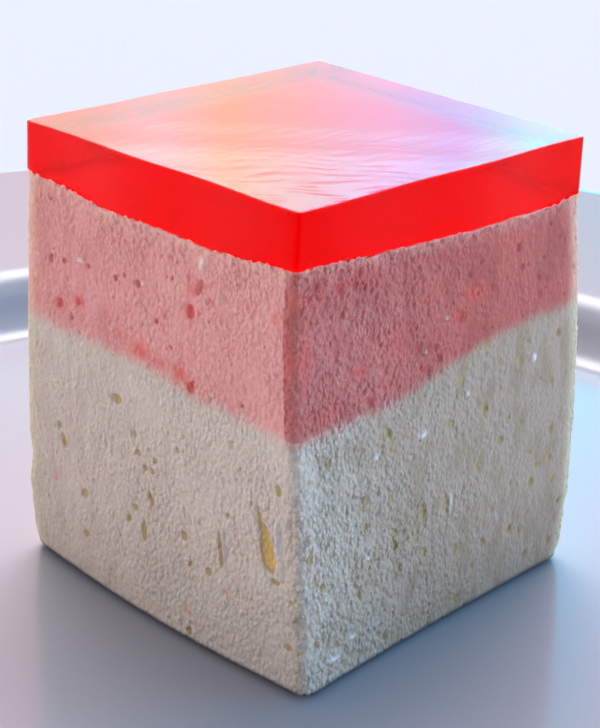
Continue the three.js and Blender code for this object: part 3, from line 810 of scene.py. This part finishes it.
def layer_piece(name, rows, material, low_cap, low_surface, high_cap, high_surface):
    """A closed layer: its stretch of the cut skin, with a cap below and above."""
    wall = skin_points[rows]
    low_rings = cap_rings(wall[0], low_cap, low_surface)[::-1]
    high_rings = cap_rings(wall[-1], high_cap, high_surface)
    origin = np.zeros(1)
    low_middle = placed(np.array([0, 0, low_surface(origin, origin)[0]]))
    high_middle = placed(np.array([0, 0, high_surface(origin, origin)[0]]))
    rings = placed(np.concatenate([low_rings, wall, high_rings]))
    piece = closed_piece(name, rings, material, low_middle, high_middle)
    hidden_low, hidden_high = len(low_rings), len(high_rings)
    values = {
        "hollow": skin_hollow[rows], "above": lift_above_cream[rows], "syrup": syrup[rows],
        "knifed": np.where(skin_heights[rows] < jelly_edge - 0.02, 1, 0),
        "coarse": coarseness[rows],
        "glow": np.broadcast_to(edge_glow, skin_heights.shape)[rows],
        "far_end_shade": far_end_shade[rows],
        "wet_glint": wet_glint[rows],
        "foot_shadow": np.exp(-(skin_heights[rows] / foot_shadow_height) ** 4),
        "crumb_highlight": crumb_highlight_share * np.exp(-((jelly_edge - skin_heights[rows]) / crumb_highlight_reach) ** 2),
    }
    for key, numbers in values.items():
        covered = np.pad(numbers, ((hidden_low, hidden_high), (0, 0)), mode="edge")
        if key != "above":
            covered[:hidden_low] = 0
            covered[len(covered) - hidden_high:] = 0
        filled = np.append(covered.ravel(), [covered[0, 0], covered[-1, 0]])
        set_values(piece.data, key, filled)
    return piece


# ---------------------------------------------------------------------------------------------
# The plain mousse is the first layer, cream whipped into milk jelly and poured on the bottom of
# the mould. Cut and turned out, it stands on the plate by its own weight.
# ---------------------------------------------------------------------------------------------
def well_floor(x, y):
    return np.zeros(x.shape)


plain_scales = (0.97, 0.66, 0.33)
cream = layer_piece(
    "white_mousse_cut", slice(0, cream_rows), cream_material,
    plain_scales, well_floor, plain_scales, cream_seam,
)
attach(cream, "root")
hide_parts("white_mousse")

# ---------------------------------------------------------------------------------------------
# The pink mousse is the same cream whipped into red jelly. It was poured on the set cream and
# sank a little into its open bubbles, which is what holds the two together.
# ---------------------------------------------------------------------------------------------
def jelly_bed(x, y):
    """The mousse's upper face, which shows through the jelly with its skin of small bubbles."""
    return mousse_seam(x, y) + 0.05 * np.sin(2.1 * x + 1.3 * y) * np.sin(1.7 * y - 0.6 * x)


bed_scales = (0.992, 0.975, 0.95, 0.92, 0.88, 0.83, 0.77, 0.7, 0.62, 0.53, 0.43, 0.32, 0.2, 0.08)
mousse = layer_piece(
    "pink_mousse_cut", slice(cream_rows - 1, cream_rows + mousse_rows - 1),
    mousse_material("pink_mousse"), plain_scales, cream_seam, bed_scales, jelly_bed,
)
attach(mousse, "root")
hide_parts("pink_mousse")

# ---------------------------------------------------------------------------------------------
# The red jelly is clear strawberry jelly, poured last and set on the pink mousse, which it grips.
# Its top is the free surface it set with, and its sides are cut clean by the knife.
# ---------------------------------------------------------------------------------------------
jelly_corner = 0.25
jelly_overlap = 0.15
jelly_red = (1.0, 0.05, 0.04, 1)
dye_red = (0.997, 0.01, 0.01, 1)
mirrored_red = (1.0, 0.0, 0.0, 1)
jelly_wall = [
    (-jelly_overlap, 0.14), (0, 0.07), (0.05, 0.02), (0.15, 0), (0.5, 0),
]
jelly_shoulder = [(-0.5, 0), (-0.08, 0), (-0.04, 0.015), (-0.015, 0.04), (0, 0.08)]


def top_skin(x, y):
    """The jelly's upper face, nearly level, with fine ripples near the front corner."""
    swell = 0.012 * np.sin(x * 0.45 + 1) * np.cos(y * 0.38)
    back = (x + y) / math.sqrt(2)
    side = (x - y) / math.sqrt(2)
    near = np.exp(-((back + 22) / 11) ** 2) * np.exp(-((side - 3) / 11) ** 2)
    phase = back * 3.1 + 1.2 * np.sin(side * 0.6) + 2.2 * np.sin(side * 0.27 + back * 0.5)
    patchy = 0.5 + 0.5 * np.sin(side * 0.9 + 2 * np.sin(back * 0.8))
    return block_height - 0.03 + swell + 0.015 * near * patchy * np.sin(phase)


jelly_top = top_skin(*middle.T)
side_part = np.linspace(0, 1, 12)[1:-1, None]
low_levels = np.array([[lift] for lift, _ in jelly_wall]) + jelly_edge
high_levels = np.array([[drop] for drop, _ in jelly_shoulder]) + jelly_top
between_levels = low_levels[-1] + side_part * (high_levels[0] - low_levels[-1])
jelly_levels = np.concatenate([low_levels, between_levels, high_levels])
jelly_insets = np.concatenate([
    [inset for _, inset in jelly_wall], np.zeros(len(side_part)), [i for _, i in jelly_shoulder],
])
jelly_insets = jelly_insets[:, None] * np.where(at_back, 0.2, 1)
jelly_plan = outline(jelly_levels, jelly_insets, jelly_corner)
jelly_rings = np.concatenate([jelly_plan, jelly_levels[..., None]], -1)


def jelly_underside(x, y):
    return mousse_seam(x, y) - jelly_overlap


under_scales = (0.98, 0.9, 0.75, 0.55, 0.35, 0.15)
under_rings = cap_rings(jelly_rings[0], under_scales, jelly_underside)[::-1]
top_rings = cap_rings(jelly_rings[-1], np.linspace(0.99, 0.01, 56), top_skin)
centre = np.zeros(1)
all_rings = placed(np.concatenate([under_rings, jelly_rings, top_rings]))
low_middle = placed(np.array([0, 0, jelly_underside(centre, centre)[0]]))
high_middle = placed(np.array([0, 0, top_skin(centre, centre)[0]]))

red_jelly_look, tree, shader = new_material("red_jelly")
place = out(node(tree, "ShaderNodeTexCoord"), "Object")
across_view = out(node(tree, "ShaderNodeMapping", {
    "Vector": place, "Rotation": (0, 0, math.radians(45)), "Scale": (0.22, 1, 1),
}))
ripples = out(node(tree, "ShaderNodeTexNoise", {
    "Vector": across_view, "Scale": 620, "Detail": 3, "Roughness": 0.6,
}), "Fac")
relief = out(node(tree, "ShaderNodeBump", {
    "Height": ripples, "Strength": 0.5, "Distance": 0.03 * MM,
}))
clouding = out(node(tree, "ShaderNodeTexNoise", {"Vector": place, "Scale": 160, "Detail": 2}), "Fac")
gloss = out(node(tree, "ShaderNodeMapRange", {"Value": clouding, "To Min": 0.015, "To Max": 0.05}))
knifed = out(node(tree, "ShaderNodeAttribute", attribute_name="knifed"), "Fac")
gloss = out(node(tree, "ShaderNodeMapRange", {"Value": knifed, "To Min": gloss, "To Max": 0.22}))
tree.links.new(relief, shader.inputs["Normal"])
tree.links.new(gloss, shader.inputs["Roughness"])
shader.inputs["Base Color"].default_value = jelly_red
shader.inputs["Transmission Weight"].default_value = 1.0
shader.inputs["IOR"].default_value = 1.35
shader.inputs["Specular Tint"].default_value = mirrored_red
dye = node(tree, "ShaderNodeVolumeAbsorption", {"Color": dye_red, "Density": 1 / MM})
tree.links.new(out(dye), tree.nodes["Material Output"].inputs["Volume"])

jelly = closed_piece("red_jelly_cut", all_rings, red_jelly_look, low_middle, high_middle)

# The knife left the two shown sides dull, and the top is duller towards its back edges.
dullness = np.zeros((len(all_rings), column_count))
wall_rows = slice(len(under_rings), len(under_rings) + len(jelly_rings) - 2)
dullness[wall_rows] = np.where(on_shown, 1, 0.08)
to_back_edge = np.clip((top_rings[..., :2].max(axis=-1) - 12) / 4, 0, 1)
dullness[-len(top_rings):] = 0.7 * to_back_edge
set_values(jelly.data, "knifed", np.append(dullness.ravel(), [0, 0]))
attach(jelly, "root")
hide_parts("red_jelly")

# ---------------------------------------------------------------------------------------------
# The set: a pale matt floor under the plate, and soft light all round that is brightest low
# behind the block, warm from the left and cool from the right.
# ---------------------------------------------------------------------------------------------
floor_reach = 12
floor_mesh = bpy.data.meshes.new("floor")
floor_corners = [(x * floor_reach, y * floor_reach, 0) for x, y in ((-1, -1), (1, -1), (1, 1), (-1, 1))]
floor_mesh.from_pydata(floor_corners, [], [(0, 1, 2, 3)])
floor_look, tree, shader = new_material("pale_floor")
shader.inputs["Base Color"].default_value = (0.60, 0.60, 0.60, 1)
shader.inputs["Roughness"].default_value = 0.9
shader.inputs["Specular IOR Level"].default_value = 0.2
floor_mesh.materials.append(floor_look)
floor = bpy.data.objects.new("floor", floor_mesh)
bpy.context.scene.collection.objects.link(floor)

world = bpy.data.worlds.new("soft_light")
bpy.context.scene.world = world
world.use_nodes = True
tree = world.node_tree
to_back = (math.sqrt(0.5), math.sqrt(0.5), 0)
to_right = (math.sqrt(0.5), -math.sqrt(0.5), 0)
behind_light = (12.9, 12.6, 13.0, 1)
overhead_light = (1.1, 1.1, 1.2, 1)


def sky_ramp(source, low, high):
    return out(node(tree, "ShaderNodeMapRange", {
        "Value": source, "From Min": low, "From Max": high,
    }, interpolation_type="SMOOTHSTEP"))


def sky_math(operation, *inputs):
    return out(node(tree, "ShaderNodeMath", dict(enumerate(inputs)), operation=operation))


def sky_stops(source, stops):
    """Light that changes with a measure, from a list of its values and the light at each."""
    low, high = stops[0][0], stops[-1][0]
    part = out(node(tree, "ShaderNodeMapRange", {"Value": source, "From Min": low, "From Max": high}))
    ramp = node(tree, "ShaderNodeValToRGB", {"Fac": part})
    points = ramp.color_ramp.elements
    while len(points) < len(stops):
        points.new(0.5)
    for point, (measure, light) in zip(points, stops):
        point.position = (measure - low) / (high - low)
    for point, (measure, light) in zip(points, stops):
        point.color = (*light, 1)
    return out(ramp, "Color")


def dot(direction):
    inputs = {0: way, 1: direction}
    return out(node(tree, "ShaderNodeVectorMath", inputs, operation="DOT_PRODUCT"), "Value")


way = out(node(tree, "ShaderNodeTexCoord"), "Generated")
back = dot(to_back)
right = dot(to_right)
up = out(node(tree, "ShaderNodeSeparateXYZ", {0: way}), "Z")
side_light = sky_stops(right, [
    (-1, (5.2, 4.6, 4.8)), (-0.92, (2.0, 1.78, 1.85)), (-0.8, (0.95, 0.86, 0.88)),
    (-0.5, (0.40, 0.37, 0.37)), (0, (0.25, 0.25, 0.26)), (0.5, (0.28, 0.32, 0.37)),
    (0.8, (0.54, 0.62, 0.74)), (0.93, (1.2, 1.35, 1.7)), (0.97, (5.6, 6.4, 8.1)),
    (1, (7.3, 8.4, 10.6)),
])
high_light = sky_stops(right, [
    (-1, (0.30, 0.20, 0.22)), (0, (0.16, 0.18, 0.19)), (0.5, (0.04, 0.52, 1.02)),
    (1, (0.02, 0.80, 1.60)),
])
front_light = mixed(tree, sky_ramp(up, 0.3, 0.6), side_light, high_light)
straight_back = sky_math("MULTIPLY_ADD", sky_math("ABSOLUTE", right), -0.6, back)
strong_light = mixed(tree, sky_ramp(up, 0.86, 0.94), behind_light, overhead_light)
around = mixed(tree, sky_ramp(straight_back, 0.1, 0.5), front_light, strong_light)
bearing = sky_math("DIVIDE", right, sky_math("MAXIMUM", back, 0.05))
low_light = sky_stops(bearing, [
    (-0.22, (1.50, 2.30, 2.10)), (-0.165, (1.70, 2.00, 1.70)), (-0.135, (1.65, 2.10, 1.80)),
    (-0.09, (1.60, 2.55, 2.70)), (-0.05, (1.75, 2.35, 1.80)), (-0.005, (1.45, 2.25, 2.55)),
    (0.04, (1.15, 2.30, 3.45)), (0.08, (0.35, 2.30, 4.20)), (0.124, (0.10, 4.00, 4.50)),
    (0.16, (0.10, 4.00, 4.50)), (0.22, (2.00, 1.70, 2.40)),
])
rise = sky_stops(up, [
    (0.1, (0.9, 0.9, 0.9)), (0.22, (0.95, 1.05, 1.05)), (0.25, (0.90, 1.0, 1.0)),
    (0.263, (0.90, 1.05, 1.05)), (0.285, (0.90, 1.60, 1.60)), (0.31, (0.90, 2.00, 2.00)),
    (0.35, (0.8, 0.8, 0.8)), (0.40, (1.3, 0.72, 1.05)), (0.5, (1.3, 0.55, 0.75)),
    (0.62, (1.55, 0.45, 0.30)),
])
low_light = out(node(tree, "ShaderNodeVectorMath", {0: low_light, 1: rise}, operation="MULTIPLY"))
band = sky_math("MULTIPLY", sky_ramp(up, 0.76, 0.68), sky_ramp(back, 0.45, 0.80))
light = mixed(tree, band, around, low_light)
tree.links.new(light, tree.nodes["Background"].inputs["Color"])

eye = Vector((-0.12715, -0.13547, 0.10692))
forward = Vector((0.64835, 0.65760, -0.38367))
camera_roll = math.radians(1.41)
camera = bpy.data.objects.new("camera", bpy.data.cameras.new("camera"))
camera.data.lens = 90.8
camera.data.sensor_width = 36
camera.data.clip_start = 0.01
camera.rotation_mode = "QUATERNION"
camera.location = eye
camera.rotation_quaternion = forward.to_track_quat("-Z", "Y") @ Quaternion((0, 0, 1), camera_roll)
bpy.context.scene.collection.objects.link(camera)
bpy.context.scene.camera = camera
bpy.context.scene.view_settings.view_transform = "Standard"
